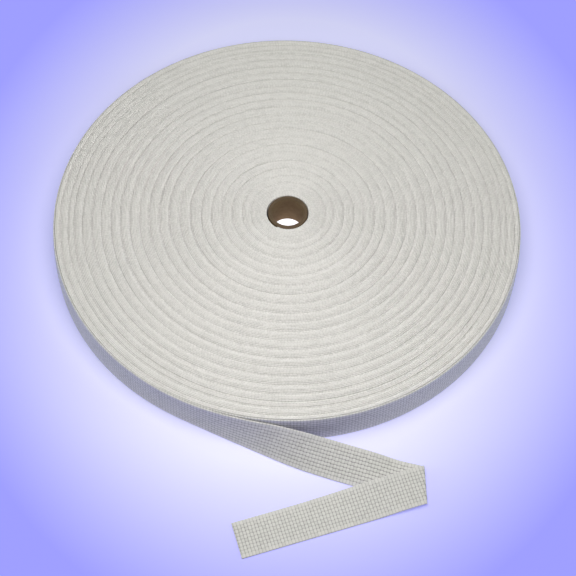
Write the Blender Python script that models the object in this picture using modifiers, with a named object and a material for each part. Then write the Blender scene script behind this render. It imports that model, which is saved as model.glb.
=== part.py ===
"""Roll of polypropylene webbing on a cardboard core, with its loose end folded on the surface beside it.

The roll lies flat, its axis upright. Metres, +Z up, the origin under the middle of the whole part.
"""

import math

import bmesh
import bpy
from mathutils import Vector

# Driving dimensions
WEB_WIDTH = 0.0268
WEB_THICKNESS = 0.0011
GAP = 0.0003

# Core, a cardboard tube with a round bore
CORE_BORE_RADIUS = 0.0127
CORE_WALL = 0.0025
CORE_BEVEL = 0.0002
CORE_STEPS = 64

# Roll, wider at its foot, where the outer turns have slipped a little
ROLL_RIM_RADIUS = 0.1798
ROLL_FOOT_RADIUS = 0.1815
ROLL_EDGE_ROUND = 0.0006
ROLL_STEPS = 96

# Crowned bands of the top face: the radius of the groove inside each, and how far its crest stands above it
BANDS = (
    {"groove": 0.0155, "crest": 0.0004},
    {"groove": 0.0285, "crest": 0.0004},
    {"groove": 0.0350, "crest": 0.0005},
    {"groove": 0.0430, "crest": 0.0004},
    {"groove": 0.0508, "crest": 0.0005},
    {"groove": 0.0590, "crest": 0.0005},
    {"groove": 0.0670, "crest": 0.0006},
    {"groove": 0.0751, "crest": 0.0005},
    {"groove": 0.0834, "crest": 0.0006},
    {"groove": 0.0914, "crest": 0.0005},
    {"groove": 0.0990, "crest": 0.0006},
    {"groove": 0.1066, "crest": 0.0005},
    {"groove": 0.1142, "crest": 0.0006},
    {"groove": 0.1216, "crest": 0.0005},
    {"groove": 0.1287, "crest": 0.0006},
    {"groove": 0.1360, "crest": 0.0005},
    {"groove": 0.1434, "crest": 0.0006},
    {"groove": 0.1504, "crest": 0.0005},
    {"groove": 0.1576, "crest": 0.0005},
    {"groove": 0.1639, "crest": 0.0004},
    {"groove": 0.1684, "crest": 0.0004},
    {"groove": 0.1745, "crest": 0.0005},
)
GROOVE_DEPTH = 0.0004

# Loose end: where it leaves the roll, and the run of its lower edge up to the fold and past it
LEAVE_ANGLE = math.radians(-119.0)
STEP_LENGTH = 0.0002
FOLD_RUN = 0.2008
RETURN_LENGTH = 0.1355
RETURN_HEADING = 198.8
FOLD_RADIUS = 0.00125

# Headings and leans in degrees. A lean of 90 stands on edge, and 0 lies flat.
TAIL_PATH = (
    {"run": 0.0000, "heading": -29.0, "lean": 86.5},
    {"run": 0.0225, "heading": -24.3, "lean": 85.7},
    {"run": 0.0450, "heading": -23.7, "lean": 81.0},
    {"run": 0.0675, "heading": -23.5, "lean": 70.4},
    {"run": 0.0900, "heading": -23.2, "lean": 53.4},
    {"run": 0.1120, "heading": -19.2, "lean": 38.0},
    {"run": 0.1350, "heading": -16.0, "lean": 26.5},
    {"run": 0.1570, "heading": -15.2, "lean": 19.5},
    {"run": 0.1800, "heading": -12.4, "lean": 5.5},
    {"run": 0.4000, "heading": -12.4, "lean": 5.5},
)

# Heights of the two edges of the layer that lies on top, above lying flat on the surface
TAIL_RETURN = (
    {"past_fold": 0.000, "far_edge": 0.0051, "near_edge": 0.0025},
    {"past_fold": 0.012, "far_edge": 0.0056, "near_edge": 0.0021},
    {"past_fold": 0.022, "far_edge": 0.0057, "near_edge": 0.0012},
    {"past_fold": 0.032, "far_edge": 0.0053, "near_edge": 0.0002},
    {"past_fold": 0.042, "far_edge": 0.0043, "near_edge": 0.0000},
    {"past_fold": 0.054, "far_edge": 0.0028, "near_edge": 0.0000},
    {"past_fold": 0.072, "far_edge": 0.0011, "near_edge": 0.0000},
    {"past_fold": 0.092, "far_edge": 0.0000, "near_edge": 0.0000},
    {"past_fold": 0.400, "far_edge": 0.0000, "near_edge": 0.0000},
)

# Mesh of the loose end
TAIL_COLUMNS = 6
TAIL_ROW_SPACING = 0.009
FOLD_ROW_SPACING = 0.0005
FOLD_MARGIN = 0.0010
STRAIGHT_ROOT = 0.040
STRAIGHT_END = 0.030
PATH_SPACING = 0.0005


def smooth_column(table, place, column, at):
    """Value of one column of a table at a place between its rows, on a curve with no overshoot."""
    rows = len(table)
    spans = [table[i + 1][place] - table[i][place] for i in range(rows - 1)]
    slopes = [(table[i + 1][column] - table[i][column]) / spans[i] for i in range(rows - 1)]
    tangents = [slopes[0]]
    for before, after in zip(slopes, slopes[1:]):
        same_way = before * after > 0
        tangents.append(2 * before * after / (before + after) if same_way else 0.0)
    tangents.append(slopes[-1])
    row = 0
    while row < rows - 2 and at > table[row + 1][place]:
        row += 1
    u = min(max((at - table[row][place]) / spans[row], 0.0), 1.0)
    start = table[row][column]
    end = table[row + 1][column]
    start_pull = spans[row] * tangents[row]
    end_pull = spans[row] * tangents[row + 1]
    return (
        start * (2 * u**3 - 3 * u**2 + 1)
        + start_pull * (u**3 - 2 * u**2 + u)
        + end * (3 * u**2 - 2 * u**3)
        + end_pull * (u**3 - u**2)
    )


def smooth_step(u):
    u = min(max(u, 0.0), 1.0)
    return u * u * (3 - 2 * u)


def tail_edge_path():
    """Points of the lower edge in plan, from the roll onwards, with the heading and lean at each."""
    start_radius = ROLL_FOOT_RADIUS - WEB_THICKNESS / 2
    tangent = Vector((-math.sin(LEAVE_ANGLE), math.cos(LEAVE_ANGLE)))
    point = Vector((math.cos(LEAVE_ANGLE), math.sin(LEAVE_ANGLE))) * start_radius + tangent * GAP
    path = []
    length = FOLD_RUN + RETURN_LENGTH + WEB_WIDTH
    for i in range(int(length / PATH_SPACING) + 2):
        run = i * PATH_SPACING
        heading = math.radians(smooth_column(TAIL_PATH, "run", "heading", run))
        lean = math.radians(smooth_column(TAIL_PATH, "run", "lean", run))
        path.append((point.copy(), heading, lean))
        point += Vector((math.cos(heading), math.sin(heading))) * PATH_SPACING
    return path


class Fold:
    """The slanting fold line: its place, its direction and the way out across it."""

    def __init__(self, path):
        point, heading, _ = path[round(FOLD_RUN / PATH_SPACING)]
        direction = (heading + math.radians(RETURN_HEADING)) / 2
        self.point = point
        self.along = Vector((math.cos(direction), math.sin(direction)))
        self.outward = Vector((math.sin(direction), -math.cos(direction)))
        self.row_shift = 1 / math.tan(direction - heading)


def tail_point(path, fold, run, across):
    """Middle of the webbing's thickness, at a run along it and a distance across from its lower edge."""
    point, heading, lean = path[min(round(run / PATH_SPACING), len(path) - 1)]
    forward = Vector((math.cos(heading), math.sin(heading)))
    to_far_edge = Vector((-math.sin(heading), math.cos(heading)))
    rest_of_run = run - round(run / PATH_SPACING) * PATH_SPACING
    plan = point + forward * rest_of_run + to_far_edge * across * math.cos(lean)
    low = across * math.sin(lean) + WEB_THICKNESS / 2 * abs(math.cos(lean))
    past = (plan - fold.point).dot(fold.outward)
    along = (plan - fold.point).dot(fold.along)
    turn = min(max(past / FOLD_RADIUS, 0.0), math.pi)
    back = max(past - math.pi * FOLD_RADIUS, 0.0)
    share = across / WEB_WIDTH
    near = smooth_column(TAIL_RETURN, "past_fold", "near_edge", back)
    far = smooth_column(TAIL_RETURN, "past_fold", "far_edge", back)
    high = WEB_THICKNESS / 2 + near * (1 - share) + far * share
    if turn <= 0:
        out = past
    elif turn >= math.pi:
        out = -back
    else:
        out = FOLD_RADIUS * math.sin(turn)
    height = low + (high - low) * (1 - math.cos(turn)) / 2
    flat = fold.point + fold.outward * out + fold.along * along
    return Vector((flat.x, flat.y, height))


def tail_rows():
    """Runs of the rows of the mesh at the lower edge, close together in the fold."""
    first_part = FOLD_RUN - FOLD_MARGIN
    fold_part = math.pi * FOLD_RADIUS + 2 * FOLD_MARGIN
    last_part = FOLD_RUN + RETURN_LENGTH - first_part - fold_part
    rows = even_steps(0.0, first_part, TAIL_ROW_SPACING)
    rows += even_steps(first_part, fold_part, FOLD_ROW_SPACING)
    rows += even_steps(first_part + fold_part, last_part, TAIL_ROW_SPACING)
    rows.append(FOLD_RUN + RETURN_LENGTH)
    return rows


def even_steps(start, length, spacing):
    """Even steps along a length, no longer than the spacing, without its last point."""
    count = math.ceil(length / spacing)
    return [start + length * i / count for i in range(count)]


def row_slant(run):
    """Share of the fold line's slant that a row takes: none at the two square ends, all in the fold."""
    before = (run - STRAIGHT_ROOT) / (FOLD_RUN - 2 * STRAIGHT_ROOT)
    after = (FOLD_RUN + RETURN_LENGTH - run) / (RETURN_LENGTH - STRAIGHT_END)
    return smooth_step(before if run < FOLD_RUN else after)


def make_tail(collection, material):
    path = tail_edge_path()
    fold = Fold(path)
    rows = tail_rows()
    bm = bmesh.new()
    bmesh.ops.create_grid(bm, x_segments=len(rows) - 1, y_segments=TAIL_COLUMNS, size=0.5)
    for vertex in bm.verts:
        row = rows[round((vertex.co.x + 0.5) * (len(rows) - 1))]
        across = (vertex.co.y + 0.5) * WEB_WIDTH
        run = row + row_slant(row) * across * fold.row_shift
        vertex.co = tail_point(path, fold, run, across)
    tail = add_mesh_object("tail", bm, collection, material)
    solidify = tail.modifiers.new("Thickness", "SOLIDIFY")
    solidify.thickness = WEB_THICKNESS
    solidify.offset = 0.0
    return tail


def roll_profile():
    """Half section of the roll: down its outer side, in along the foot, up the bore and out over the bands."""
    top = WEB_WIDTH
    profile = [
        (ROLL_RIM_RADIUS - ROLL_EDGE_ROUND, top - ROLL_EDGE_ROUND / 3),
        (ROLL_RIM_RADIUS, top - ROLL_EDGE_ROUND),
        (ROLL_FOOT_RADIUS, ROLL_EDGE_ROUND),
        (ROLL_FOOT_RADIUS - ROLL_EDGE_ROUND, 0.0),
        (CORE_BORE_RADIUS + CORE_WALL + GAP, 0.0),
    ]
    grooves = [band["groove"] for band in BANDS] + [ROLL_RIM_RADIUS]
    for band, next_groove in zip(BANDS, grooves[1:]):
        crest_radius = (band["groove"] + next_groove) / 2
        profile.append((band["groove"], top - GROOVE_DEPTH))
        profile.append((crest_radius, top - GROOVE_DEPTH + band["crest"]))
    return profile


def wind_outer_turn(mesh):
    """Shift the outer side into one turn of a spiral, with a step where the loose end leaves."""
    step_height = WEB_THICKNESS + GAP
    column_angle = 2 * math.pi / ROLL_STEPS
    stretch = (2 * math.pi - STEP_LENGTH / ROLL_RIM_RADIUS) / (2 * math.pi - column_angle)
    outer_side = ROLL_RIM_RADIUS - 1.5 * ROLL_EDGE_ROUND
    for vertex in mesh.vertices:
        radius = math.hypot(vertex.co.x, vertex.co.y)
        angle = math.atan2(vertex.co.y, vertex.co.x) % (2 * math.pi)
        column = round(angle / column_angle) % ROLL_STEPS
        if radius > outer_side:
            angle = column * column_angle * stretch
            radius -= step_height * (1 - angle / (2 * math.pi))
        else:
            angle = column * column_angle
        angle += LEAVE_ANGLE
        vertex.co.x = radius * math.cos(angle)
        vertex.co.y = radius * math.sin(angle)


def make_roll(collection, material):
    turned = make_turned("roll_turning", roll_profile(), ROLL_STEPS, collection)
    depsgraph = bpy.context.evaluated_depsgraph_get()
    mesh = bpy.data.meshes.new_from_object(turned.evaluated_get(depsgraph))
    mesh.name = "roll"
    bpy.data.objects.remove(turned)
    wind_outer_turn(mesh)
    mesh.shade_smooth()
    mesh.set_sharp_from_angle(angle=math.radians(30))
    roll = bpy.data.objects.new("roll", mesh)
    collection.objects.link(roll)
    mesh.materials.clear()
    mesh.materials.append(material)
    return roll


def make_core(collection, material):
    outer = CORE_BORE_RADIUS + CORE_WALL
    profile = [(outer, WEB_WIDTH), (outer, 0.0), (CORE_BORE_RADIUS, 0.0), (CORE_BORE_RADIUS, WEB_WIDTH)]
    core = make_turned("core", profile, CORE_STEPS, collection)
    core.data.materials.append(material)
    bevel = core.modifiers.new("Worn edges", "BEVEL")
    bevel.width = CORE_BEVEL
    bevel.segments = 1
    bevel.limit_method = "ANGLE"
    bevel.angle_limit = math.radians(60)
    return core


def make_turned(name, profile, steps, collection):
    """A closed half section turned once round Z."""
    bm = bmesh.new()
    points = [bm.verts.new((radius, 0.0, height)) for radius, height in profile]
    for i, point in enumerate(points):
        bm.edges.new((point, points[(i + 1) % len(points)]))
    turned = add_mesh_object(name, bm, collection, None)
    screw = turned.modifiers.new("Turning", "SCREW")
    screw.axis = "Z"
    screw.angle = 2 * math.pi
    screw.steps = steps
    screw.render_steps = steps
    screw.use_merge_vertices = True
    screw.merge_threshold = 0.00001
    return turned


def add_mesh_object(name, bm, collection, material):
    mesh = bpy.data.meshes.new(name)
    bm.to_mesh(mesh)
    bm.free()
    item = bpy.data.objects.new(name, mesh)
    collection.objects.link(item)
    if material:
        mesh.materials.append(material)
    return item


def make_material(name, colour, roughness):
    material = bpy.data.materials.new(name)
    material.use_nodes = True
    shader = material.node_tree.nodes["Principled BSDF"]
    shader.inputs["Base Color"].default_value = (*colour, 1.0)
    shader.inputs["Roughness"].default_value = roughness
    shader.inputs["Metallic"].default_value = 0.0
    return material


def centre_over_origin(pieces):
    """Move the pieces together, so that the middle of the whole part is over the origin."""
    bpy.context.view_layer.update()
    depsgraph = bpy.context.evaluated_depsgraph_get()
    corners = [Vector(corner) for piece in pieces for corner in piece.evaluated_get(depsgraph).bound_box]
    middle_x = (min(c.x for c in corners) + max(c.x for c in corners)) / 2
    middle_y = (min(c.y for c in corners) + max(c.y for c in corners)) / 2
    frame = bpy.data.objects.new("frame", None)
    pieces[0].users_collection[0].objects.link(frame)
    frame.location = (-middle_x, -middle_y, 0.0)
    for piece in pieces:
        piece.parent = frame


def main():
    for item in list(bpy.data.objects):
        bpy.data.objects.remove(item)
    collection = bpy.data.collections.new("webbing_roll")
    bpy.context.scene.collection.children.link(collection)
    webbing = make_material("white_webbing", (0.78, 0.77, 0.75), 0.55)
    cardboard = make_material("brown_cardboard", (0.30, 0.21, 0.13), 0.85)
    pieces = [
        make_core(collection, cardboard),
        make_roll(collection, webbing),
        make_tail(collection, webbing),
    ]
    centre_over_origin(pieces)


main()
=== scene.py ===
"""Looks of the roll of polypropylene webbing: its wound turns, woven faces, folded loose end and core.

Everything is in metres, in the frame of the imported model, +Z up. The roll's axis is upright.
"""

import math

import bpy
import numpy as np
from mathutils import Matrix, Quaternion, Vector


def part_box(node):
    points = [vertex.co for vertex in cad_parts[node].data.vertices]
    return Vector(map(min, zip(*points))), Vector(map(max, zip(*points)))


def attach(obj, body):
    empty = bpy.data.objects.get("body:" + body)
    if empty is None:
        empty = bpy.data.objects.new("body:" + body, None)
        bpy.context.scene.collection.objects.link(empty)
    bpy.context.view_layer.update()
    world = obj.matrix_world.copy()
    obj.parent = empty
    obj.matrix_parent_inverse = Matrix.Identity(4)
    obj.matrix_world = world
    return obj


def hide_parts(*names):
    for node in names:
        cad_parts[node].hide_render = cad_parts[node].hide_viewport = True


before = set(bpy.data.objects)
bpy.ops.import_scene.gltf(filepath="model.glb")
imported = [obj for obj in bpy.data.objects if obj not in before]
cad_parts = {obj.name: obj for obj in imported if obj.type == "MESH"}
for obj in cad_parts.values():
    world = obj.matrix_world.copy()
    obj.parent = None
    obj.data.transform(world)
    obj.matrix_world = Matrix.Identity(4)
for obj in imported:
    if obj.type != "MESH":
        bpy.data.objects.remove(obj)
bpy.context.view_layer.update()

# The roll's axis stands in the middle of the core
core_low, core_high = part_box("core")
AXIS = Vector(((core_low.x + core_high.x) / 2, (core_low.y + core_high.y) / 2, 0.0))

# Webbing. Its two edges are rounded off over a short width, with columns of the mesh at these shares of it.
WEB_WIDTH = 0.0268
WEB_THICKNESS = 0.0011
WEB_EDGE = 0.00045
EDGE_SHARES = np.array([0.0, 0.12, 0.4, 1.0])
EDGE_CLEAR = 1.4

# Gap between the core, the roll and the loose end
GAP = 0.0003

# Weave: ribs across the webbing, split into cells by rows along it
RIB_PITCH = 0.00233
CELLS_ACROSS = 10
CELL_WIDTH = 0.00256
WEAVE_MARGIN = (WEB_WIDTH - CELLS_ACROSS * CELL_WIDTH) / 2
SELVEDGE_WIDTH = 0.0034
CELLS_START = SELVEDGE_WIDTH * 0.6
CELLS_SHADED = SELVEDGE_WIDTH * 1.1
CELL_HEIGHT = 0.00008
PILLOW_HEIGHT = 0.00012
PILLOW_POWER = 0.6
PILLOW_LEVEL = 0.5
RIB_HEIGHT = 0.00012
RIB_LEVEL = 0.6
RIB_LOSS_IN_CELLS = 0.45

# Core, a cardboard tube with a round bore. Its plies end at two heights, on a slight slope.
CORE_BORE_RADIUS = 0.0127
CORE_WALL = 0.0025
CORE_STEPS = 128
CORE_PLIES = 5
CORE_FOOT = 0.0001
CORE_SHARP_ANGLE = math.radians(40)
PLY_STEP = 0.00012
PLY_ROUNDING = 0.12
PLY_DISH = 0.4
BORE_EDGE_STEPS = 3

# Roll, wider at its foot
ROLL_RIM_RADIUS = 0.1798
ROLL_FOOT_RADIUS = 0.1815
OUTER_TURN_GAP = 0.00008
TURN_STEP = WEB_THICKNESS + OUTER_TURN_GAP
LEAVE_ANGLE = math.radians(-119.0)
WOUND_TURNS = 148
WOUND_START_RADIUS = CORE_BORE_RADIUS + CORE_WALL + GAP
WOUND_END_RADIUS = ROLL_RIM_RADIUS - WEB_THICKNESS - OUTER_TURN_GAP - TURN_STEP
TURN_PITCH = (WOUND_END_RADIUS - WOUND_START_RADIUS) / WOUND_TURNS

# The wound turns are built in three nested pieces: first turn, last turn and steps round each turn
WOUND_PIECES = (
    {"name": "wound_turns_inner", "first": 0, "last": 54, "steps": 168},
    {"name": "wound_turns_middle", "first": 54, "last": 104, "steps": 256},
    {"name": "wound_turns_outer", "first": 104, "last": WOUND_TURNS, "steps": 320},
)

# Faces of the wound turns that meet at more than this angle keep a sharp edge
WALL_ANGLE = math.radians(70)

# One turn's edge from above: share of the pitch, and how far it lies below the crown
TURN_EDGE = (
    {"share": 0.00, "below": 0.00042},
    {"share": 0.22, "below": 0.00008},
    {"share": 0.50, "below": 0.00000},
    {"share": 0.78, "below": 0.00008},
)
TURN_FOOT = (
    {"share": 0.00, "below": 0.00030},
    {"share": 0.50, "below": 0.00000},
)

# Crowned bands of the top face: the radius of the groove inside each, and how far its crest stands above it
BANDS = (
    {"groove": 0.0155, "crest": 0.0004},
    {"groove": 0.0285, "crest": 0.0004},
    {"groove": 0.0350, "crest": 0.0005},
    {"groove": 0.0430, "crest": 0.0004},
    {"groove": 0.0508, "crest": 0.0005},
    {"groove": 0.0590, "crest": 0.0005},
    {"groove": 0.0670, "crest": 0.0006},
    {"groove": 0.0751, "crest": 0.0005},
    {"groove": 0.0834, "crest": 0.0006},
    {"groove": 0.0914, "crest": 0.0005},
    {"groove": 0.0990, "crest": 0.0006},
    {"groove": 0.1066, "crest": 0.0005},
    {"groove": 0.1142, "crest": 0.0006},
    {"groove": 0.1216, "crest": 0.0005},
    {"groove": 0.1287, "crest": 0.0006},
    {"groove": 0.1360, "crest": 0.0005},
    {"groove": 0.1434, "crest": 0.0006},
    {"groove": 0.1504, "crest": 0.0005},
    {"groove": 0.1576, "crest": 0.0005},
    {"groove": 0.1639, "crest": 0.0004},
    {"groove": 0.1684, "crest": 0.0004},
    {"groove": 0.1745, "crest": 0.0005},
)
GROOVE_DEPTH = 0.0004
BAND_POWER = 2.4

# The bands are deeper here than in the CAD model, and the hollow at each groove is deeper still
BAND_RELIEF = 2.0
GROOVE_HOLLOW = 0.0008

# The outermost turns lie a little lower where the roll meets the loose end
LOW_TURNS = 3.0
LOW_TURNS_DEPTH = 0.0005
LOW_TURNS_ANGLE = math.radians(-128.0)
LOW_TURNS_SPREAD = math.radians(38.0)

# Unevenness of the turns' edges: waves along the spiral, and a part of each turn's own
TURN_UNEVEN = 0.00005
UNEVEN_WAVES = 5
UNEVEN_WAVE_PACE = 0.37
UNEVEN_SEED = 11
UNEVEN_OWN = 2.4
WAVE_PACE_STEP = 0.9
WAVE_PACE_CHANCE = 0.5
WAVE_FADE = 0.5

# Paces and scale of the turns' own random numbers
UNEVEN_PACE = 78.233
TONE_PACE = 12.9898
RANDOM_SCALE = 43758.5453

# Lightness of the turns' edges: a random tone for each turn, painted shade at each groove and a painted
# highlight just outside it
TURN_TONE = 0.08
GROOVE_PAINTED_SHADE = 0.09
CREST_PAINTED_HIGHLIGHT = 0.07
CREST_OFFSET = 0.0021
GROOVE_SPREAD = 0.0013

# Outer turn, with fewer columns on the side that faces the roll
OUTER_ROWS_PER_CELL = 4
OUTER_COLUMNS_PER_CELL = 3
OUTER_BACK_COLUMNS_PER_CELL = 0.5

# The outer turn stands upright at its foot and bends in towards its upper edge, but is straight at both ends
OUTER_CURVE_POWER = 2.6
OUTER_CURVE_START = 0.06
OUTER_CURVE_END = 0.05

# Loose end: the run of its lower edge up to the fold and past it
FOLD_RUN = 0.2008
RETURN_LENGTH = 0.1355
RETURN_HEADING = 198.8
FOLD_RADIUS = 0.00125
TAIL_LENGTH = FOLD_RUN + RETURN_LENGTH

# Headings and leans in degrees. A lean of 90 stands on edge, and 0 lies flat.
TAIL_PATH = (
    {"run": 0.0000, "heading": -29.0, "lean": 86.5},
    {"run": 0.0225, "heading": -24.3, "lean": 85.7},
    {"run": 0.0450, "heading": -23.7, "lean": 81.0},
    {"run": 0.0675, "heading": -23.5, "lean": 70.4},
    {"run": 0.0900, "heading": -23.2, "lean": 53.4},
    {"run": 0.1120, "heading": -19.2, "lean": 38.0},
    {"run": 0.1350, "heading": -16.0, "lean": 26.5},
    {"run": 0.1570, "heading": -15.2, "lean": 19.5},
    {"run": 0.1800, "heading": -12.4, "lean": 5.5},
    {"run": 0.4000, "heading": -12.4, "lean": 5.5},
)

# Heights of the two edges of the layer that lies on top, above lying flat on the surface
TAIL_RETURN = (
    {"past_fold": 0.000, "far_edge": 0.0051, "near_edge": 0.0025},
    {"past_fold": 0.012, "far_edge": 0.0056, "near_edge": 0.0021},
    {"past_fold": 0.022, "far_edge": 0.0057, "near_edge": 0.0012},
    {"past_fold": 0.032, "far_edge": 0.0053, "near_edge": 0.0002},
    {"past_fold": 0.042, "far_edge": 0.0043, "near_edge": 0.0000},
    {"past_fold": 0.054, "far_edge": 0.0028, "near_edge": 0.0000},
    {"past_fold": 0.072, "far_edge": 0.0011, "near_edge": 0.0000},
    {"past_fold": 0.092, "far_edge": 0.0000, "near_edge": 0.0000},
    {"past_fold": 0.400, "far_edge": 0.0000, "near_edge": 0.0000},
)
STRAIGHT_ROOT = 0.040
STRAIGHT_END = 0.030
PATH_SPACING = 0.0005
TAIL_ROW_SPACING = 0.00047
TAIL_COLUMNS_PER_CELL = 4
FOLD_ROW_SPACING = 0.00022
FOLD_MARGIN = 0.0010
NORMAL_NUDGE = 0.00004

# Camera, from the roll's axis
CAMERA_POSITION = Vector((0.0018, -0.5634, 0.8059))
CAMERA_TARGET = Vector((0.0018, -0.0533, 0.0014))
CAMERA_LENS = 77.8
CAMERA_SENSOR = 36.0
CAMERA_ROLL = math.radians(1.73)
CAMERA_CLIP_START = 0.01

FULL_TURN = 2 * math.pi


# Helpers for numbers and meshes


def smooth_step(u):
    u = np.clip(u, 0.0, 1.0)
    return u * u * (3 - 2 * u)


def table_curve(table, place, column, at):
    """Values of one column of a table at places between its rows, on a curve with no overshoot."""
    x = np.array([row[place] for row in table])
    y = np.array([row[column] for row in table])
    spans = np.diff(x)
    slopes = np.diff(y) / spans
    before = slopes[:-1]
    after = slopes[1:]
    same_way = before * after > 0
    total = np.where(same_way, before + after, 1.0)
    inner = np.where(same_way, 2 * before * after / total, 0.0)
    tangents = np.concatenate(([slopes[0]], inner, [slopes[-1]]))
    row = np.clip(np.searchsorted(x, at, side="left") - 1, 0, len(spans) - 1)
    u = np.clip((at - x[row]) / spans[row], 0.0, 1.0)
    return (
        y[row] * (2 * u**3 - 3 * u**2 + 1)
        + spans[row] * tangents[row] * (u**3 - 2 * u**2 + u)
        + y[row + 1] * (3 * u**2 - 2 * u**3)
        + spans[row] * tangents[row + 1] * (u**3 - u**2)
    )


def wave_sum(at, count, seed):
    """Smooth uneven curve round 0: a few sine waves with their own lengths and starts."""
    draw = np.random.default_rng(seed)
    total = np.zeros_like(at, dtype=float)
    for i in range(count):
        pace = 1.0 + WAVE_PACE_STEP * i + WAVE_PACE_CHANCE * draw.random()
        total += np.sin(at * pace + FULL_TURN * draw.random()) / (1 + WAVE_FADE * i)
    return total / math.sqrt(count)


def mesh_object(name, points, quads, quad_uvs, polygons=()):
    """Mesh from arrays: four-sided faces with their UV corners, and a few faces with more corners."""
    loops = [quads.ravel()]
    sizes = [np.full(len(quads), 4)]
    uvs = [quad_uvs.reshape(-1, 2)]
    for corners in polygons:
        loops.append(np.array(corners))
        sizes.append(np.array([len(corners)]))
        uvs.append(np.zeros((len(corners), 2)))
    loops = np.concatenate(loops)
    sizes = np.concatenate(sizes)
    uvs = np.concatenate(uvs)
    starts = np.concatenate(([0], np.cumsum(sizes)[:-1]))
    mesh = bpy.data.meshes.new(name)
    mesh.vertices.add(len(points))
    mesh.vertices.foreach_set("co", points.astype(np.float32).ravel())
    mesh.loops.add(len(loops))
    mesh.loops.foreach_set("vertex_index", loops.astype(np.int32))
    mesh.polygons.add(len(sizes))
    mesh.polygons.foreach_set("loop_start", starts.astype(np.int32))
    layer = mesh.uv_layers.new(name="weave")
    layer.data.foreach_set("uv", uvs.astype(np.float32).ravel())
    mesh.polygons.foreach_set("use_smooth", np.full(len(sizes), True))
    mesh.update(calc_edges=True)
    mesh.validate()
    item = bpy.data.objects.new(name, mesh)
    bpy.context.scene.collection.objects.link(item)
    return item


def finish_piece(item, materials, node):
    """Give a piece its materials, hide the model's part that it stands for, and attach it to the root body.
    """
    for material in materials:
        item.data.materials.append(material)
    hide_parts(node)
    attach(item, "root")


# Weave


def weave_relief(along, across):
    """Height of the cells, which the two faces share, and of pillows and ribs, which stand out on both."""
    edge = np.minimum(across, WEB_WIDTH - across)
    inside = smooth_step((edge - CELLS_START) / CELLS_START)
    wave_along = np.sin(math.pi * along / RIB_PITCH)
    wave_across = np.sin(math.pi * (across - WEAVE_MARGIN) / CELL_WIDTH)
    cells = CELL_HEIGHT * wave_along * wave_across * inside
    pillow = np.abs(wave_along * wave_across) ** PILLOW_POWER - PILLOW_LEVEL
    pillows = PILLOW_HEIGHT * pillow * inside
    ribs = RIB_HEIGHT * (np.abs(wave_along) - RIB_LEVEL) * (1.0 - RIB_LOSS_IN_CELLS * inside)
    return cells, pillows + ribs


def half_thickness(across):
    """Half the webbing's thickness, rounded off at its two edges."""
    edge = np.minimum(across, WEB_WIDTH - across)
    u = np.clip(1 - edge / WEB_EDGE, 0.0, 1.0)
    return WEB_THICKNESS / 2 * np.sqrt(1 - u * u)


def edge_columns(columns_per_cell):
    """Places across the webbing: in step with its cells, and close together on its two edges."""
    rounded = WEB_EDGE * EDGE_SHARES
    clear = EDGE_CLEAR * WEB_EDGE
    count = round(CELLS_ACROSS * columns_per_cell)
    cells = WEAVE_MARGIN + CELL_WIDTH * np.arange(count + 1) / columns_per_cell
    inner = cells[(cells > clear) & (cells < WEB_WIDTH - clear)]
    return np.concatenate((rounded, inner, (WEB_WIDTH - rounded)[::-1]))


def strip_mesh(name, surface, rows, front, back, along_at):
    """A closed strip of webbing: two woven faces, two rounded edges and two cut ends.

    surface gives the middle of the thickness for arrays of row and place across, and the face's normal.
    """
    sections = []
    uvs = []
    for across, side in ((front, 1.0), (back, -1.0)):
        row_grid, across_grid = np.meshgrid(rows, across, indexing="ij")
        middle, normal = surface(row_grid, across_grid)
        along = along_at(row_grid, across_grid)
        cells, ribs = weave_relief(along, across_grid)
        half = half_thickness(across_grid)
        fade = half / (WEB_THICKNESS / 2)
        offset = side * half + fade * (cells + side * ribs)
        points = middle + normal * offset[..., None]
        points[..., 2] = np.maximum(points[..., 2], 0.0)
        sections.append(points)
        uvs.append(np.stack((along, across_grid), axis=-1))
    # The back face runs the other way round the section, without the two edges that it shares
    section = np.concatenate((sections[0], sections[1][:, -2:0:-1]), axis=1)
    section_uv = np.concatenate((uvs[0], uvs[1][:, -2:0:-1], uvs[1][:, :1]), axis=1)
    count, ring = section.shape[:2]
    index = np.arange(count * ring).reshape(count, ring)
    following = np.roll(index, -1, axis=1)
    quads = np.stack((index[:-1], index[1:], following[1:], following[:-1]), axis=-1)
    quad_uv = np.stack(
        (section_uv[:-1, :-1], section_uv[1:, :-1], section_uv[1:, 1:], section_uv[:-1, 1:]), axis=2
    )
    ends = (list(index[0]), list(index[-1][::-1]))
    points = section.reshape(-1, 3)
    strip = mesh_object(name, points, quads.reshape(-1, 4), quad_uv.reshape(-1, 4, 2), ends)
    on_back = np.arange(ring) >= len(front) - 1
    faces = np.concatenate((np.tile(on_back, count - 1), [False, False]))
    strip.data.polygons.foreach_set("material_index", faces.astype(np.int32))
    return strip


# Wound turns


def band_relief(radius):
    """Height of the crowned bands of the top face, from the grooves between them."""
    grooves = np.array([band["groove"] for band in BANDS] + [ROLL_RIM_RADIUS])
    crests = np.array([band["crest"] for band in BANDS])
    band = np.clip(np.searchsorted(grooves, radius) - 1, 0, len(crests) - 1)
    share = np.clip((radius - grooves[band]) / (grooves[band + 1] - grooves[band]), 0.0, 1.0)
    relief = crests[band] * (1 - np.abs(2 * share - 1) ** BAND_POWER) - GROOVE_DEPTH
    return BAND_RELIEF * relief + (BAND_RELIEF - 1) * GROOVE_DEPTH / 2


def groove_hollow(radius):
    """Extra depth of the hollow between two turns where it lies next to a groove."""
    grooves = np.array([band["groove"] for band in BANDS])
    nearest = np.min(np.abs(radius[..., None] - grooves), axis=-1)
    return GROOVE_HOLLOW * np.clip(1 - nearest / TURN_PITCH, 0.0, 1.0)


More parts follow.
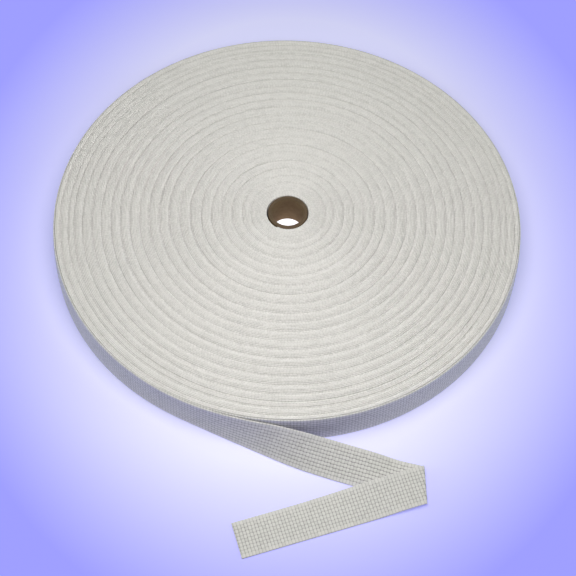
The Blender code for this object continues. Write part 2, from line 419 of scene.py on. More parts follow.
def low_turns(radius, angle):
    """How far the outermost turns lie below the rest, near where the loose end leaves."""
    from_rim = (ROLL_RIM_RADIUS - radius) / TURN_PITCH
    away = np.abs((angle - LOW_TURNS_ANGLE + math.pi) % FULL_TURN - math.pi) / LOW_TURNS_SPREAD
    return LOW_TURNS_DEPTH * smooth_step(LOW_TURNS + 1 - from_rim) * smooth_step(1 - away)


def wound_radius(turn):
    return WOUND_START_RADIUS + TURN_PITCH * turn


def wound_length(turn):
    """Length of webbing from the core to a place on the spiral."""
    return FULL_TURN * (WOUND_START_RADIUS * turn + TURN_PITCH * turn * turn / 2)


def turn_random(turn, pace):
    """A number from 0 to 1 for each whole turn, eased from each turn to the next."""
    whole = np.floor(turn)
    here = np.sin(whole * pace) * RANDOM_SCALE
    following = np.sin((whole + 1) * pace) * RANDOM_SCALE
    here -= np.floor(here)
    following -= np.floor(following)
    return here + (following - here) * smooth_step(turn - whole)


def turn_uneven(turn):
    """Small rise and fall of each turn's edge, its own on every turn."""
    angle = turn * FULL_TURN
    waves = wave_sum(angle * UNEVEN_WAVE_PACE, UNEVEN_WAVES, UNEVEN_SEED)
    own = turn_random(turn, UNEVEN_PACE)
    return TURN_UNEVEN * (waves + UNEVEN_OWN * (own - 0.5))


def turn_tone_and_painted_light(turn):
    """Lightness of the turns' edges: each has its own random tone, with painted shade at the grooves and a
    painted highlight just outside them.
    """
    own = turn_random(turn, TONE_PACE)
    grooves = np.array([band["groove"] for band in BANDS])
    past = wound_radius(turn)[..., None] - grooves
    # Painted shade at each groove, and a painted highlight just outside it
    dark = np.exp(-((past / GROOVE_SPREAD) ** 2)).max(axis=-1)
    painted_highlight = np.exp(-(((past - CREST_OFFSET) / GROOVE_SPREAD) ** 2)).max(axis=-1)
    return TURN_TONE * (own - 0.5) - GROOVE_PAINTED_SHADE * dark + CREST_PAINTED_HIGHLIGHT * painted_highlight


def wound_points(rows, steps, profile, top):
    """Points of one face of the wound turns: a row for each step of the spiral, in the profile's order."""
    turn = rows / steps
    angle = LEAVE_ANGLE + FULL_TURN * turn
    radius = wound_radius(turn)
    crown = radius + TURN_PITCH / 2
    level = WEB_WIDTH + band_relief(crown) + turn_uneven(turn) - low_turns(crown, angle)
    points = []
    for entry in profile:
        place = radius + entry["share"] * TURN_PITCH
        if top:
            height = level - entry["below"]
            if entry["share"] == 0:
                height = height - groove_hollow(place)
        else:
            place = place * ROLL_FOOT_RADIUS / ROLL_RIM_RADIUS
            height = np.full_like(place, entry["below"])
        x = AXIS.x + place * np.cos(angle)
        y = AXIS.y + place * np.sin(angle)
        points.append(np.stack((x, y, height), axis=-1))
    return np.stack(points, axis=1)


def spiral_face(first, last, steps, profile, top):
    """One face of the wound turns, with neighbouring turns joined in the groove between them.

    Returns the points, the quads, their UV corners, and the loop of points round the face's rim.
    """
    rows = np.arange(first * steps, last * steps + 1)
    beyond = np.arange(last * steps + 1, (last + 1) * steps + 1)
    width = len(profile)
    inner = wound_points(rows, steps, profile, top)
    outer = wound_points(beyond, steps, profile[:1], top)
    points = np.concatenate((inner.reshape(-1, 3), outer.reshape(-1, 3)))
    index = np.arange(len(rows) * width).reshape(len(rows), width)
    groove = np.concatenate((index[:, 0], len(rows) * width + np.arange(steps)))
    grid = np.concatenate((index, groove[steps:, None]), axis=1)
    quads = np.stack((grid[:-1, :-1], grid[:-1, 1:], grid[1:, 1:], grid[1:, :-1]), axis=-1).reshape(-1, 4)
    length = wound_length(rows / steps)
    shares = np.array([entry["share"] for entry in profile] + [1.0]) * WEB_THICKNESS
    uv = np.stack(np.broadcast_arrays(length[:, None], shares[None, :]), axis=-1)
    uvs = np.stack((uv[:-1, :-1], uv[:-1, 1:], uv[1:, 1:], uv[1:, :-1]), axis=2).reshape(-1, 4, 2)
    ends = {
        "inner": groove[: steps + 1],
        "outer": groove[-steps - 1 :],
        "first": grid[0],
        "last": grid[-1],
    }
    if not top:
        quads = quads[:, ::-1]
        uvs = uvs[:, ::-1]
    return points, quads, uvs, ends


def make_wound_piece(name, first, last, steps):
    """A closed spiral of turns: its top, its foot, its two upright walls and the two ends of the spiral."""
    top_points, top_quads, top_uvs, top_ends = spiral_face(first, last, steps, TURN_EDGE, True)
    foot_points, foot_quads, foot_uvs, foot_ends = spiral_face(first, last, steps, TURN_FOOT, False)
    shift = len(top_points)
    foot_quads = foot_quads + shift
    foot_ends = {key: value + shift for key, value in foot_ends.items()}
    walls = []
    high = top_ends["inner"]
    low = foot_ends["inner"]
    walls.append(np.stack((high[:-1], high[1:], low[1:], low[:-1]), axis=-1))
    high = top_ends["outer"]
    low = foot_ends["outer"]
    walls.append(np.stack((high[:-1], low[:-1], low[1:], high[1:]), axis=-1))
    walls = np.concatenate(walls)
    wall_uvs = np.zeros((len(walls), 4, 2))
    polygons = [
        list(top_ends["first"][::-1]) + list(foot_ends["first"]),
        list(top_ends["last"]) + list(foot_ends["last"][::-1]),
    ]
    piece = mesh_object(
        name,
        np.concatenate((top_points, foot_points)),
        np.concatenate((top_quads, foot_quads, walls)),
        np.concatenate((top_uvs, foot_uvs, wall_uvs)),
        polygons,
    )
    piece.data.set_sharp_from_angle(angle=WALL_ANGLE)
    rows = np.arange(first * steps, last * steps + 1) / steps
    beyond = np.arange(last * steps + 1, (last + 1) * steps + 1) / steps
    tone = np.zeros(len(top_points) + len(foot_points))
    inner_tone = np.repeat(turn_tone_and_painted_light(rows), len(TURN_EDGE))
    tone[: len(inner_tone)] = inner_tone
    tone[len(inner_tone) : len(top_points)] = turn_tone_and_painted_light(beyond)
    # Each point carries its turn's random tone with the painted shade and painted highlight of the grooves
    layer = piece.data.attributes.new("tone", "FLOAT", "POINT")
    layer.data.foreach_set("value", tone.astype(np.float32))
    return piece


# Outer turn


def outer_turn_length():
    return FULL_TURN * (ROLL_RIM_RADIUS + ROLL_FOOT_RADIUS) / 2


def outer_surface(share, across):
    """Middle of the outer turn, for a share of the way round and a place above its foot."""
    angle = LEAVE_ANGLE + FULL_TURN * share
    up = across / WEB_WIDTH
    taper = ROLL_FOOT_RADIUS - ROLL_RIM_RADIUS
    curve = smooth_step(share / OUTER_CURVE_START) * smooth_step((1 - share) / OUTER_CURVE_END)
    inward = taper * (up + curve * (up**OUTER_CURVE_POWER - up))
    radius = ROLL_FOOT_RADIUS - inward - WEB_THICKNESS / 2 - TURN_STEP * (1 - share)
    slope = taper * (1 + curve * (OUTER_CURVE_POWER * up ** (OUTER_CURVE_POWER - 1) - 1)) / WEB_WIDTH
    middle = np.stack((AXIS.x + radius * np.cos(angle), AXIS.y + radius * np.sin(angle), across), axis=-1)
    normal = np.stack((np.cos(angle), np.sin(angle), slope), axis=-1)
    return middle, normal / np.linalg.norm(normal, axis=-1, keepdims=True)


def make_outer_turn():
    cells = round(outer_turn_length() / RIB_PITCH / 2) * 2
    rows = np.linspace(0.0, 1.0, cells * OUTER_ROWS_PER_CELL + 1)
    front = edge_columns(OUTER_COLUMNS_PER_CELL)
    back = edge_columns(OUTER_BACK_COLUMNS_PER_CELL)
    return strip_mesh(
        "outer_turn", outer_surface, rows, front, back, lambda share, across: share * cells * RIB_PITCH
    )


# Loose end


class TailPath:
    """The lower edge in plan, from the roll onwards, and the slanting fold line across it."""

    def __init__(self):
        start_radius = ROLL_FOOT_RADIUS - WEB_THICKNESS / 2
        leave = np.array((math.cos(LEAVE_ANGLE), math.sin(LEAVE_ANGLE)))
        tangent = np.array((-leave[1], leave[0]))
        start = np.array((AXIS.x, AXIS.y)) + leave * start_radius + tangent * GAP
        self.run = np.arange(0.0, TAIL_LENGTH + 2 * WEB_WIDTH, PATH_SPACING)
        heading = self.heading(self.run)
        steps = np.stack((np.cos(heading), np.sin(heading)), axis=-1) * PATH_SPACING
        self.points = start + np.concatenate((np.zeros((1, 2)), np.cumsum(steps[:-1], axis=0)))
        fold_heading = float(self.heading(np.array([FOLD_RUN]))[0])
        direction = (fold_heading + math.radians(RETURN_HEADING)) / 2
        self.fold_point = self.place(np.array([FOLD_RUN]))[0]
        self.fold_along = np.array((math.cos(direction), math.sin(direction)))
        self.fold_outward = np.array((math.sin(direction), -math.cos(direction)))
        self.row_shift = 1 / math.tan(direction - fold_heading)

    def heading(self, run):
        return np.radians(table_curve(TAIL_PATH, "run", "heading", run))

    def lean(self, run):
        return np.radians(table_curve(TAIL_PATH, "run", "lean", run))

    def place(self, run):
        plan = np.stack([np.interp(run, self.run, self.points[:, i]) for i in range(2)], axis=-1)
        heading = self.heading(run)
        before_start = np.minimum(run, 0.0)
        forward = np.stack((np.cos(heading), np.sin(heading)), axis=-1)
        return plan + forward * before_start[..., None]

    def middle(self, run, across):
        """Middle of the webbing's thickness, at a run along it and a distance across from its lower edge."""
        heading = self.heading(run)
        lean = self.lean(run)
        to_far_edge = np.stack((-np.sin(heading), np.cos(heading)), axis=-1)
        plan = self.place(run) + to_far_edge * (across * np.cos(lean))[..., None]
        low = across * np.sin(lean) + WEB_THICKNESS / 2 * np.abs(np.cos(lean))
        past = (plan - self.fold_point) @ self.fold_outward
        along = (plan - self.fold_point) @ self.fold_along
        turn = np.clip(past / FOLD_RADIUS, 0.0, math.pi)
        back = np.maximum(past - math.pi * FOLD_RADIUS, 0.0)
        share = across / WEB_WIDTH
        near = table_curve(TAIL_RETURN, "past_fold", "near_edge", back)
        far = table_curve(TAIL_RETURN, "past_fold", "far_edge", back)
        high = WEB_THICKNESS / 2 + near * (1 - share) + far * share
        in_fold = np.where(turn >= math.pi, -back, FOLD_RADIUS * np.sin(turn))
        out = np.where(turn <= 0, past, in_fold)
        height = low + (high - low) * (1 - np.cos(turn)) / 2
        flat = self.fold_point + self.fold_outward * out[..., None] + self.fold_along * along[..., None]
        return np.concatenate((flat, height[..., None]), axis=-1)

    def row_slant(self, row):
        """Share of the fold line's slant that a row takes: none at the two square ends, all in the fold."""
        before = (row - STRAIGHT_ROOT) / (FOLD_RUN - 2 * STRAIGHT_ROOT)
        after = (TAIL_LENGTH - row) / (RETURN_LENGTH - STRAIGHT_END)
        return smooth_step(np.where(row < FOLD_RUN, before, after))

    def run_of(self, row, across):
        return row + self.row_slant(row) * across * self.row_shift

    def surface(self, row, across):
        run = self.run_of(row, across)
        middle = self.middle(run, across)
        ahead = self.middle(self.run_of(row + NORMAL_NUDGE, across), across)
        behind = self.middle(self.run_of(row - NORMAL_NUDGE, across), across)
        upper = self.middle(run, across + NORMAL_NUDGE)
        lower = self.middle(run, across - NORMAL_NUDGE)
        normal = np.cross(ahead - behind, upper - lower)
        return middle, normal / np.linalg.norm(normal, axis=-1, keepdims=True)


def tail_rows():
    """Rows of the loose end's mesh, closer together in the fold."""
    fold_start = FOLD_RUN - FOLD_MARGIN
    fold_end = FOLD_RUN + math.pi * FOLD_RADIUS + FOLD_MARGIN
    before = np.arange(-GAP, fold_start, TAIL_ROW_SPACING)
    folding = np.arange(fold_start, fold_end, FOLD_ROW_SPACING)
    after = np.linspace(fold_end, TAIL_LENGTH, int((TAIL_LENGTH - fold_end) / TAIL_ROW_SPACING))
    return np.concatenate((before, folding, after))


def make_loose_end():
    path = TailPath()
    columns = edge_columns(TAIL_COLUMNS_PER_CELL)
    return strip_mesh("loose_end", path.surface, tail_rows(), columns, columns, path.run_of)


# Core


def make_core():
    """The cardboard tube: plies that end at slightly different heights, and a plain bore."""
    outer = CORE_BORE_RADIUS + CORE_WALL
    ply = CORE_WALL / CORE_PLIES
    profile = [(outer, CORE_FOOT), (outer, WEB_WIDTH - PLY_STEP)]
    for i in range(CORE_PLIES):
        outside = outer - i * ply
        inside = outside - ply
        level = WEB_WIDTH - PLY_STEP * (1 + i % 2)
        profile.append((outside - ply * PLY_ROUNDING, level))
        profile.append((inside + ply * PLY_ROUNDING, level + PLY_STEP * PLY_DISH))
    profile.append((CORE_BORE_RADIUS, WEB_WIDTH - BORE_EDGE_STEPS * PLY_STEP))
    profile.append((CORE_BORE_RADIUS, CORE_FOOT))
    count = len(profile)
    angle = FULL_TURN * np.arange(CORE_STEPS) / CORE_STEPS
    radius = np.array([point[0] for point in profile])
    height = np.array([point[1] for point in profile])
    points = np.stack(
        np.broadcast_arrays(
            AXIS.x + radius[None, :] * np.cos(angle)[:, None],
            AXIS.y + radius[None, :] * np.sin(angle)[:, None],
            height[None, :],
        ),
        axis=-1,
    )
    index = np.arange(CORE_STEPS * count).reshape(CORE_STEPS, count)
    ahead = np.roll(index, -1, axis=0)
    following = np.roll(index, -1, axis=1)
    following_ahead = np.roll(ahead, -1, axis=1)
    quads = np.stack((index, ahead, following_ahead, following), axis=-1).reshape(-1, 4)
    steps = np.cumsum(np.hypot(np.diff(radius, append=radius[0]), np.diff(height, append=height[0])))
    reach = np.concatenate(([0.0], steps))
    round_length = CORE_BORE_RADIUS * FULL_TURN * np.arange(CORE_STEPS + 1) / CORE_STEPS
    uv = np.stack(np.broadcast_arrays(round_length[:, None], reach[None, :]), axis=-1)
    uvs = np.stack((uv[:-1, :-1], uv[1:, :-1], uv[1:, 1:], uv[:-1, 1:]), axis=2).reshape(-1, 4, 2)
    core = mesh_object("core_tube", points.reshape(-1, 3), quads, uvs)
    core.data.set_sharp_from_angle(angle=CORE_SHARP_ANGLE)
    on_rim = (np.arange(count) >= 1) & (np.arange(count) <= 2 * CORE_PLIES + 1)
    core.data.polygons.foreach_set("material_index", np.tile(on_rim, CORE_STEPS).astype(np.int32))
    return core


# Materials


# Sockets of a colour mixing node, which have the same names as others of its sockets
MIX_SHARE = 0
MIX_FIRST = 6
MIX_SECOND = 7
MIX_RESULT = 2


class Nodes:
    """A material's node tree, with short calls for the nodes that the materials share."""

    def __init__(self, name):
        self.material = bpy.data.materials.new(name)
        self.material.use_nodes = True
        self.tree = self.material.node_tree
        self.shader = self.tree.nodes["Principled BSDF"]

    def add(self, kind, **settings):
        node = self.tree.nodes.new(kind)
        for key, value in settings.items():
            setattr(node, key, value)
        return node

    def feed(self, socket, value):
        if isinstance(value, bpy.types.NodeSocket):
            self.tree.links.new(value, socket)
        else:
            socket.default_value = value

    def math(self, operation, first, second=0.0, third=0.0):
        node = self.add("ShaderNodeMath", operation=operation)
        for socket, value in zip(node.inputs, (first, second, third)):
            self.feed(socket, value)
        return node.outputs[0]

    def times(self, first, second):
        return self.math("MULTIPLY", first, second)

    def vector_math(self, operation, first, second=(0.0, 0.0, 0.0)):
        node = self.add("ShaderNodeVectorMath", operation=operation)
        self.feed(node.inputs[0], first)
        self.feed(node.inputs[1], second)
        return node

    def ramp(self, value, low, high, start=0.0, end=1.0, shape="SMOOTHSTEP"):
        node = self.add("ShaderNodeMapRange", interpolation_type=shape)
        for socket, number in zip(node.inputs, (value, low, high, start, end)):
            self.feed(socket, number)
        return node.outputs[0]

    def mix(self, share, first, second):
        node = self.add("ShaderNodeMix", data_type="RGBA")
        self.feed(node.inputs[MIX_SHARE], share)
        self.feed(node.inputs[MIX_FIRST], first)
        self.feed(node.inputs[MIX_SECOND], second)
        return node.outputs[MIX_RESULT]

    def noise(self, vector, scale, detail=2.0):
        node = self.add("ShaderNodeTexNoise")
        self.feed(node.inputs["Vector"], vector)
        node.inputs["Scale"].default_value = scale
        node.inputs["Detail"].default_value = detail
        return node.outputs["Fac"]

    def stretched_noise(self, x, y, x_scale, y_scale, detail=2.0):
        """Noise that can be finer along one of the two measures than along the other."""
        return self.noise(self.vector(self.times(x, x_scale), self.times(y, y_scale)), 1.0, detail)

    def chance(self, x, y):
        """A random number from 0 to 1 for each whole pair of numbers."""
        node = self.add("ShaderNodeTexWhiteNoise", noise_dimensions="2D")
        self.tree.links.new(self.vector(x, y), node.inputs["Vector"])
        return node.outputs["Value"]

    def place(self):
        """The UV map in metres: along and across."""
        node = self.add("ShaderNodeUVMap", uv_map="weave")
        split = self.add("ShaderNodeSeparateXYZ")
        self.tree.links.new(node.outputs[0], split.inputs[0])
        return split.outputs[0], split.outputs[1]

    def vector(self, x, y):
        node = self.add("ShaderNodeCombineXYZ")
        self.feed(node.inputs[0], x)
        self.feed(node.inputs[1], y)
        return node.outputs[0]

    def bump(self, height, strength, distance):
        node = self.add("ShaderNodeBump")
        node.inputs["Strength"].default_value = strength
        node.inputs["Distance"].default_value = distance
        self.feed(node.inputs["Height"], height)
        return node.outputs[0]

    def finish(self, colour, roughness, normal, specular, sheen=0.0):
        self.feed(self.shader.inputs["Base Color"], colour)
        self.feed(self.shader.inputs["Roughness"], roughness)
        self.tree.links.new(normal, self.shader.inputs["Normal"])
        self.shader.inputs["Specular IOR Level"].default_value = specular
        self.shader.inputs["Sheen Weight"].default_value = sheen
        return self.material


WHITE_YARN = (0.82, 0.81, 0.785)
EDGE_YARN = (0.76, 0.745, 0.73, 1.0)
SHADED_YARN = (0.50, 0.49, 0.475, 1.0)
GAP_PAINTED_SHADE = (0.20, 0.195, 0.19, 1.0)
YARN_SHEEN = 0.08

# The two faces of the webbing: the lightness of its yarn, and how much painted shade darkens each kind of
# gap in it
OUTER_FACE = {
    "name": "webbing_outer_face",
    "yarn": 0.82,
    "holes": 0.95,
    "ribs": 0.36,
    "rows": 0.30,
    "slits": 0.50,
}
INNER_FACE = {
    "name": "webbing_inner_face",
    "yarn": 0.80,
    "holes": 0.50,
    "ribs": 0.58,
    "rows": 0.10,
    "slits": 0.34,
}
SELVEDGE_RIBS = 0.40
JITTER = 0.22
RIB_JITTER_SCALE = 260.0
ROW_JITTER_SCALE = 310.0
GAP_REACH = 0.62
SLIT_SLANT = 0.22
SLIT_WIDTH = 0.20
CHECKER_REACH = 0.6
CHECKER_LOW = 0.90
CELL_LOW = 0.80
CELL_CHANCE = 0.20
YARN_FULL = 0.95

# Fibres run along the webbing in its raised cells, and across it in the others
RAISED_REACH = 0.15
FIBRE_LONG_SCALE = 500.0
FIBRE_FINE_SCALE = 9000.0
FIBRE_NONE = 0.62
FIBRE_FULL = 0.30
FIBRE_SHADE = 0.30

FACE_LIGHT_RELIEF = 0.6
FACE_FIBRE_RELIEF = 0.25
FACE_BUMP = 0.6
FACE_BUMP_HEIGHT = 0.0002
FACE_ROUGH_GAPS = 0.75
FACE_ROUGH_YARN = 0.45
FACE_SPECULAR = 0.35


def make_face_material(face):
    """A woven face: ribs and rows with painted shade in the gaps and in slanted slits between rows, and fine
    fibres.
    """
    n = Nodes(face["name"])
    along, across = n.place()
    rib_wander = n.noise(n.vector(along, across), RIB_JITTER_SCALE, 1.0)
    row_wander = n.noise(n.vector(across, along), ROW_JITTER_SCALE, 1.0)
    rib_jitter = n.math("MULTIPLY_ADD", rib_wander, JITTER, -JITTER / 2)
    rib_place = n.math("MULTIPLY_ADD", along, 1 / RIB_PITCH, rib_jitter)
    row_start = -WEAVE_MARGIN / CELL_WIDTH
    row_jitter = n.math("MULTIPLY_ADD", row_wander, JITTER, row_start - JITTER / 2)
    row_place = n.math("MULTIPLY_ADD", across, 1 / CELL_WIDTH, row_jitter)
    wave_along = n.math("SINE", n.times(rib_place, math.pi))
    wave_across = n.math("SINE", n.times(row_place, math.pi))
    waves = n.times(wave_along, wave_across)
    rib = n.math("ABSOLUTE", wave_along)
    row = n.math("ABSOLUTE", wave_across)

    # The two selvedges have plain ribs
    edge = n.math("MINIMUM", across, n.math("SUBTRACT", WEB_WIDTH, across))
    inside = n.ramp(edge, CELLS_START, CELLS_SHADED)
    rib_depth = n.math("MULTIPLY_ADD", inside, face["ribs"] - SELVEDGE_RIBS, SELVEDGE_RIBS)

    # Slanted slits, two cells long, staggered from each gap between rows to the next
    nearest_gap = n.math("ROUND", row_place)
    stagger = n.times(n.math("ADD", rib_place, nearest_gap), 0.5)
    saw = n.math("SUBTRACT", n.math("FRACT", stagger), 0.5)
    off_gap = n.math("SUBTRACT", row_place, nearest_gap)
    off_slit = n.math("ABSOLUTE", n.math("SUBTRACT", off_gap, n.times(saw, SLIT_SLANT)))
    slit = n.times(n.ramp(off_slit, SLIT_WIDTH, 0.0), inside)

    # Light of the yarn, with painted shade in the gaps and slits
    rib_gap = n.ramp(rib, GAP_REACH, 0.0)
    row_gap = n.times(n.ramp(row, GAP_REACH, 0.0), inside)
    hole = n.times(rib_gap, row_gap)
    gaps = (
        (hole, face["holes"]),
        (rib_gap, rib_depth),
        (row_gap, face["rows"]),
        (slit, face["slits"]),
    )
    light = 1.0
    for gap, depth in gaps:
        light = n.times(light, n.math("SUBTRACT", 1.0, n.times(gap, depth)))
    checker = n.ramp(waves, -CHECKER_REACH, CHECKER_REACH, CHECKER_LOW, 1.0)
    cell_chance = n.chance(n.math("FLOOR", rib_place), n.math("FLOOR", row_place))
    uneven_cell = n.math("MULTIPLY_ADD", cell_chance, CELL_CHANCE, CELL_LOW)
    light = n.times(light, n.times(checker, uneven_cell))

    # Fibres
    fibres_along = n.stretched_noise(along, across, FIBRE_LONG_SCALE, FIBRE_FINE_SCALE)
    fibres_across = n.stretched_noise(along, across, FIBRE_FINE_SCALE, FIBRE_LONG_SCALE)
    raised = n.ramp(waves, -RAISED_REACH, RAISED_REACH)
    along_share = n.times(fibres_along, raised)
    across_share = n.times(fibres_across, n.math("SUBTRACT", 1.0, raised))
    fibres = n.math("ADD", along_share, across_share)

    yarn = tuple(value * face["yarn"] for value in WHITE_YARN) + (1.0,)
    # Painted shade: the gaps darken towards the shade colour
    colour = n.mix(n.ramp(light, 0.0, YARN_FULL), GAP_PAINTED_SHADE, yarn)
    fibre_shade = n.times(n.ramp(fibres, FIBRE_NONE, FIBRE_FULL), FIBRE_SHADE)
    colour = n.mix(fibre_shade, colour, SHADED_YARN)
    height = n.math("ADD", n.times(light, FACE_LIGHT_RELIEF), n.times(fibres, FACE_FIBRE_RELIEF))
    normal = n.bump(height, FACE_BUMP, FACE_BUMP_HEIGHT)
    roughness = n.ramp(light, 0.0, 1.0, FACE_ROUGH_GAPS, FACE_ROUGH_YARN)
    return n.finish(colour, roughness, normal, FACE_SPECULAR, YARN_SHEEN)


# Edges of the wound turns: painted shade in the gaps between loops and in the hollows between turns, and
# each loop has its own random lightness
LOOP_WANDER = 2.4
LOOP_WANDER_SCALES = (90.0, 300.0)
LOOP_FULL = 0.70
LOOP_PAINTED_SHADE = 0.26
LOOP_LOW = 0.74
HOLLOW_FULL = 0.60
HOLLOW_PAINTED_SHADE = 0.36
HOLLOW_LOW = 0.64
CHANCE_PACE = 40.0
CHANCE_LIGHT = 0.30
CHANCE_LOW = 0.72
EDGE_SHADED = 0.25
EDGE_FULL = 0.95
PATCH_SCALES = (60.0, 200.0)
PATCH_NONE = 0.45
PATCH_FULL = 0.75
PATCH_SHADE = 0.20
EDGE_FIBRE_SCALE = 4000.0
EDGE_LIGHT_RELIEF = 0.8
EDGE_FIBRE_RELIEF = 0.15
EDGE_BUMP = 0.8
EDGE_BUMP_HEIGHT = 0.00035
EDGE_ROUGHNESS = 0.6
EDGE_SPECULAR = 0.3


def make_edge_material():
    """Edges of the wound turns: a loop of yarn at every rib, with painted shade in the hollows between loops
    and turns.
    """
    n = Nodes("webbing_edges")
    along, across = n.place()
    wander = n.stretched_noise(along, across, *LOOP_WANDER_SCALES)
    loop_place = n.math("MULTIPLY_ADD", along, 1 / RIB_PITCH, n.times(wander, LOOP_WANDER))
    loop = n.math("ABSOLUTE", n.math("SINE", n.times(loop_place, math.pi)))
    crown = n.math("SINE", n.times(across, math.pi / WEB_THICKNESS))
    loops = n.ramp(loop, 0.0, LOOP_FULL)
    hollows = n.ramp(crown, 0.0, HOLLOW_FULL)
    chance = n.chance(n.math("FLOOR", loop_place), n.math("FLOOR", n.times(along, CHANCE_PACE)))
    # Painted shade: darker in the gaps between loops and in the hollows between turns
    loop_painted_shade = n.math("MULTIPLY_ADD", loops, LOOP_PAINTED_SHADE, LOOP_LOW)
    hollow_painted_shade = n.math("MULTIPLY_ADD", hollows, HOLLOW_PAINTED_SHADE, HOLLOW_LOW)
    uneven = n.math("MULTIPLY_ADD", chance, CHANCE_LIGHT, CHANCE_LOW)
    light = n.times(n.times(loop_painted_shade, hollow_painted_shade), uneven)
    # Add each turn's random tone, with the painted shade at the grooves and the painted highlight outside
    # them
    tone = n.add("ShaderNodeAttribute", attribute_name="tone").outputs["Fac"]
    light = n.math("ADD", light, tone)
    patches = n.stretched_noise(along, across, *PATCH_SCALES)
    fibres = n.stretched_noise(along, across, EDGE_FIBRE_SCALE, EDGE_FIBRE_SCALE)
    colour = n.mix(n.ramp(light, EDGE_SHADED, EDGE_FULL), SHADED_YARN, EDGE_YARN)
    patch_shade = n.times(n.ramp(patches, PATCH_NONE, PATCH_FULL), PATCH_SHADE)
    colour = n.mix(patch_shade, colour, SHADED_YARN)
    height = n.math("ADD", n.times(light, EDGE_LIGHT_RELIEF), n.times(fibres, EDGE_FIBRE_RELIEF))
    normal = n.bump(height, EDGE_BUMP, EDGE_BUMP_HEIGHT)
    return n.finish(colour, EDGE_ROUGHNESS, normal, EDGE_SPECULAR, YARN_SHEEN)


# Cardboard: a seam that runs round it in a spiral, blotches and fine pulp
BORE_BOARD = {
    "name": "cardboard_bore",
    "dark": (0.145, 0.092, 0.050, 1.0),
    "light": (0.235, 0.165, 0.098, 1.0),
}
RIM_BOARD = {
    "name": "cardboard_rim",
    "dark": (0.085, 0.057, 0.035, 1.0),
    "light": (0.150, 0.108, 0.070, 1.0),
}
SEAM_PACE_ALONG = 22.0
SEAM_PACE_ACROSS = 60.0
SEAM_WIDTH = 0.03
SEAM_LIGHT = 0.4
SEAM_LOW = 0.6
BOARD_DETAIL = 4.0
BLOTCH_SCALE = 300.0
PULP_SCALE = 3000.0
PULP_NONE = 0.45
PULP_FULL = 0.75
PULP_SHARE = 0.3
SEAM_RELIEF = 0.5
PULP_RELIEF = 0.3
BOARD_BUMP = 0.5
BOARD_BUMP_HEIGHT = 0.0002
BOARD_ROUGHNESS = 0.9
BOARD_SPECULAR = 0.2


def make_core_material(board):
    n = Nodes(board["name"])
    along, across = n.place()
    spiral = n.math("ADD", n.times(along, SEAM_PACE_ALONG), n.times(across, SEAM_PACE_ACROSS))
    off_seam = n.math("ABSOLUTE", n.math("SUBTRACT", n.math("FRACT", spiral), 0.5))
    seam = n.ramp(off_seam, 0.0, SEAM_WIDTH)
    blotches = n.noise(n.vector(along, across), BLOTCH_SCALE, BOARD_DETAIL)
    pulp = n.stretched_noise(along, across, PULP_SCALE, PULP_SCALE, BOARD_DETAIL)
    colour = n.mix(blotches, board["dark"], board["light"])
    pulp_light = n.times(n.ramp(pulp, PULP_NONE, PULP_FULL), PULP_SHARE)
    colour = n.mix(pulp_light, colour, board["light"])
    colour = n.mix(n.math("MULTIPLY_ADD", seam, SEAM_LIGHT, SEAM_LOW), board["dark"], colour)
    height = n.math("ADD", n.times(seam, SEAM_RELIEF), n.times(pulp, PULP_RELIEF))
    normal = n.bump(height, BOARD_BUMP, BOARD_BUMP_HEIGHT)
    return n.finish(colour, BOARD_ROUGHNESS, normal, BOARD_SPECULAR)


# Floor with painted light: a glow from near the roll to far from it, and a painted patch of white light in
# the core's bore
FLOOR_MIDDLE = Vector((0.0030, 0.0143, 0.0))
FLOOR_SQUASH = 0.80
FLOOR_REACH = 6.0
FLOOR_NEAR_RADIUS = 0.173
FLOOR_FAR_RADIUS = 0.272
FLOOR_BORE_RADIUS = 0.03
FLOOR_NEAR_GLOW = (0.18, 0.18, 0.38, 1.0)
FLOOR_FAR_GLOW = (0.338, 0.338, 1.0, 1.0)
FLOOR_BORE_GLOW = (0.90, 0.90, 0.90, 1.0)
FLOOR_NEAR_BASE = (0.66, 0.66, 0.77, 1.0)
FLOOR_FAR_BASE = (0.01, 0.01, 0.04, 1.0)
FLOOR_GLOW_STRENGTH = 1.0
FLOOR_ROUGHNESS = 0.9
FLOOR_SPECULAR = 0.1


def make_floor_material():
    """A floor with painted light: mostly lit by the lamps near the roll, with a painted glow that turns
    lavender away from it and a white painted glow in the core's bore.
    """
    n = Nodes("floor_painted_glow")
    place = n.add("ShaderNodeNewGeometry").outputs["Position"]
    from_middle = n.vector_math("SUBTRACT", place, AXIS + FLOOR_MIDDLE).outputs["Vector"]
    squash = Vector((1.0, FLOOR_SQUASH, 0.0))
    squashed = n.vector_math("MULTIPLY", from_middle, squash).outputs["Vector"]
    distance = n.vector_math("LENGTH", squashed).outputs["Value"]
    away = n.ramp(distance, FLOOR_NEAR_RADIUS, FLOOR_FAR_RADIUS, shape="LINEAR")
    # Painted light: a white glowing patch on the floor under the core's bore
    in_bore = n.ramp(distance, FLOOR_BORE_RADIUS * 2, FLOOR_BORE_RADIUS)
    glow = n.mix(away, FLOOR_NEAR_GLOW, FLOOR_FAR_GLOW)
    glow = n.mix(in_bore, glow, FLOOR_BORE_GLOW)
    base = n.mix(away, FLOOR_NEAR_BASE, FLOOR_FAR_BASE)
    n.feed(n.shader.inputs["Emission Color"], glow)
    n.feed(n.shader.inputs["Emission Strength"], FLOOR_GLOW_STRENGTH)
    n.feed(n.shader.inputs["Base Color"], base)
    n.feed(n.shader.inputs["Roughness"], FLOOR_ROUGHNESS)
    n.feed(n.shader.inputs["Specular IOR Level"], FLOOR_SPECULAR)
    return n.material


# Camera, floor and lights


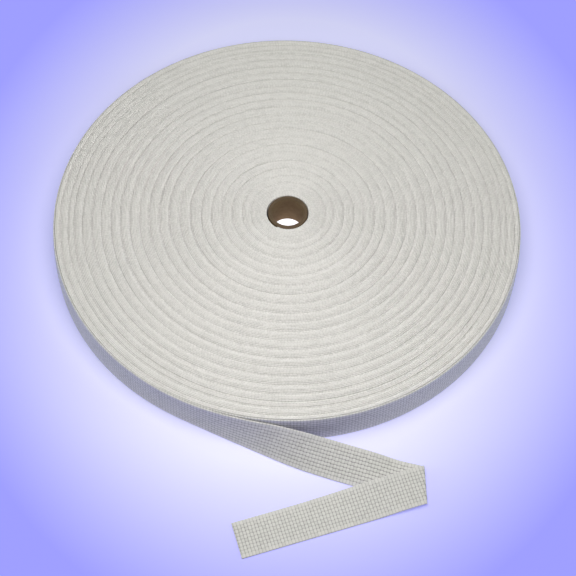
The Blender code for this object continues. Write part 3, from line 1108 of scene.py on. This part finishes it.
def make_camera():
    data = bpy.data.cameras.new("camera")
    data.lens = CAMERA_LENS
    data.sensor_width = CAMERA_SENSOR
    data.clip_start = CAMERA_CLIP_START
    camera = bpy.data.objects.new("camera", data)
    bpy.context.scene.collection.objects.link(camera)
    forward = (CAMERA_TARGET - CAMERA_POSITION).normalized()
    camera.location = AXIS + CAMERA_POSITION
    camera.rotation_mode = "QUATERNION"
    camera.rotation_quaternion = forward.to_track_quat("-Z", "Y") @ Quaternion((0, 0, 1), CAMERA_ROLL)
    bpy.context.scene.camera = camera


def make_floor():
    mesh = bpy.data.meshes.new("floor")
    reach = FLOOR_REACH
    corners = [(-reach, -reach, 0), (reach, -reach, 0), (reach, reach, 0), (-reach, reach, 0)]
    mesh.from_pydata(corners, [], [(0, 1, 2, 3)])
    floor = bpy.data.objects.new("floor", mesh)
    bpy.context.scene.collection.objects.link(floor)
    mesh.materials.append(make_floor_material())


OVERHEAD_COLOUR = (1.0, 0.965, 0.96)
SIDE_COLOUR = (0.88, 1.0, 0.80)
LIGHTS = (
    {"name": "overhead", "at": (0.0, -0.15, 0.50), "size": 0.40, "power": 2.26, "colour": OVERHEAD_COLOUR},
    {"name": "left", "at": (-1.60, -0.10, 0.70), "size": 0.90, "power": 7.8, "colour": SIDE_COLOUR},
    {"name": "right", "at": (1.60, -0.10, 0.70), "size": 0.90, "power": 7.8, "colour": SIDE_COLOUR},
)
WORLD_COLOUR = (0.88, 0.93, 1.0, 1.0)
WORLD_STRENGTH = 0.12


def make_lights():
    for entry in LIGHTS:
        data = bpy.data.lights.new(entry["name"], "AREA")
        data.shape = "DISK"
        data.size = entry["size"]
        data.energy = entry["power"]
        data.color = entry["colour"]
        light = bpy.data.objects.new(entry["name"], data)
        bpy.context.scene.collection.objects.link(light)
        light.location = AXIS + Vector(entry["at"])
        light.rotation_mode = "QUATERNION"
        light.rotation_quaternion = (-Vector(entry["at"])).to_track_quat("-Z", "Y")
    world = bpy.data.worlds.new("studio")
    world.use_nodes = True
    background = world.node_tree.nodes["Background"]
    background.inputs["Color"].default_value = WORLD_COLOUR
    background.inputs["Strength"].default_value = WORLD_STRENGTH
    bpy.context.scene.world = world
    bpy.context.scene.view_settings.view_transform = "Standard"


def main():
    make_camera()
    make_floor()
    make_lights()
    outer_face = make_face_material(OUTER_FACE)
    inner_face = make_face_material(INNER_FACE)
    edges = make_edge_material()
    for entry in WOUND_PIECES:
        piece = make_wound_piece(entry["name"], entry["first"], entry["last"], entry["steps"])
        finish_piece(piece, [edges], "roll")
    finish_piece(make_outer_turn(), [outer_face, inner_face], "roll")
    loose_end = make_loose_end()
    finish_piece(loose_end, [outer_face, inner_face], "tail")
    finish_piece(make_core(), [make_core_material(BORE_BOARD), make_core_material(RIM_BOARD)], "core")


main()
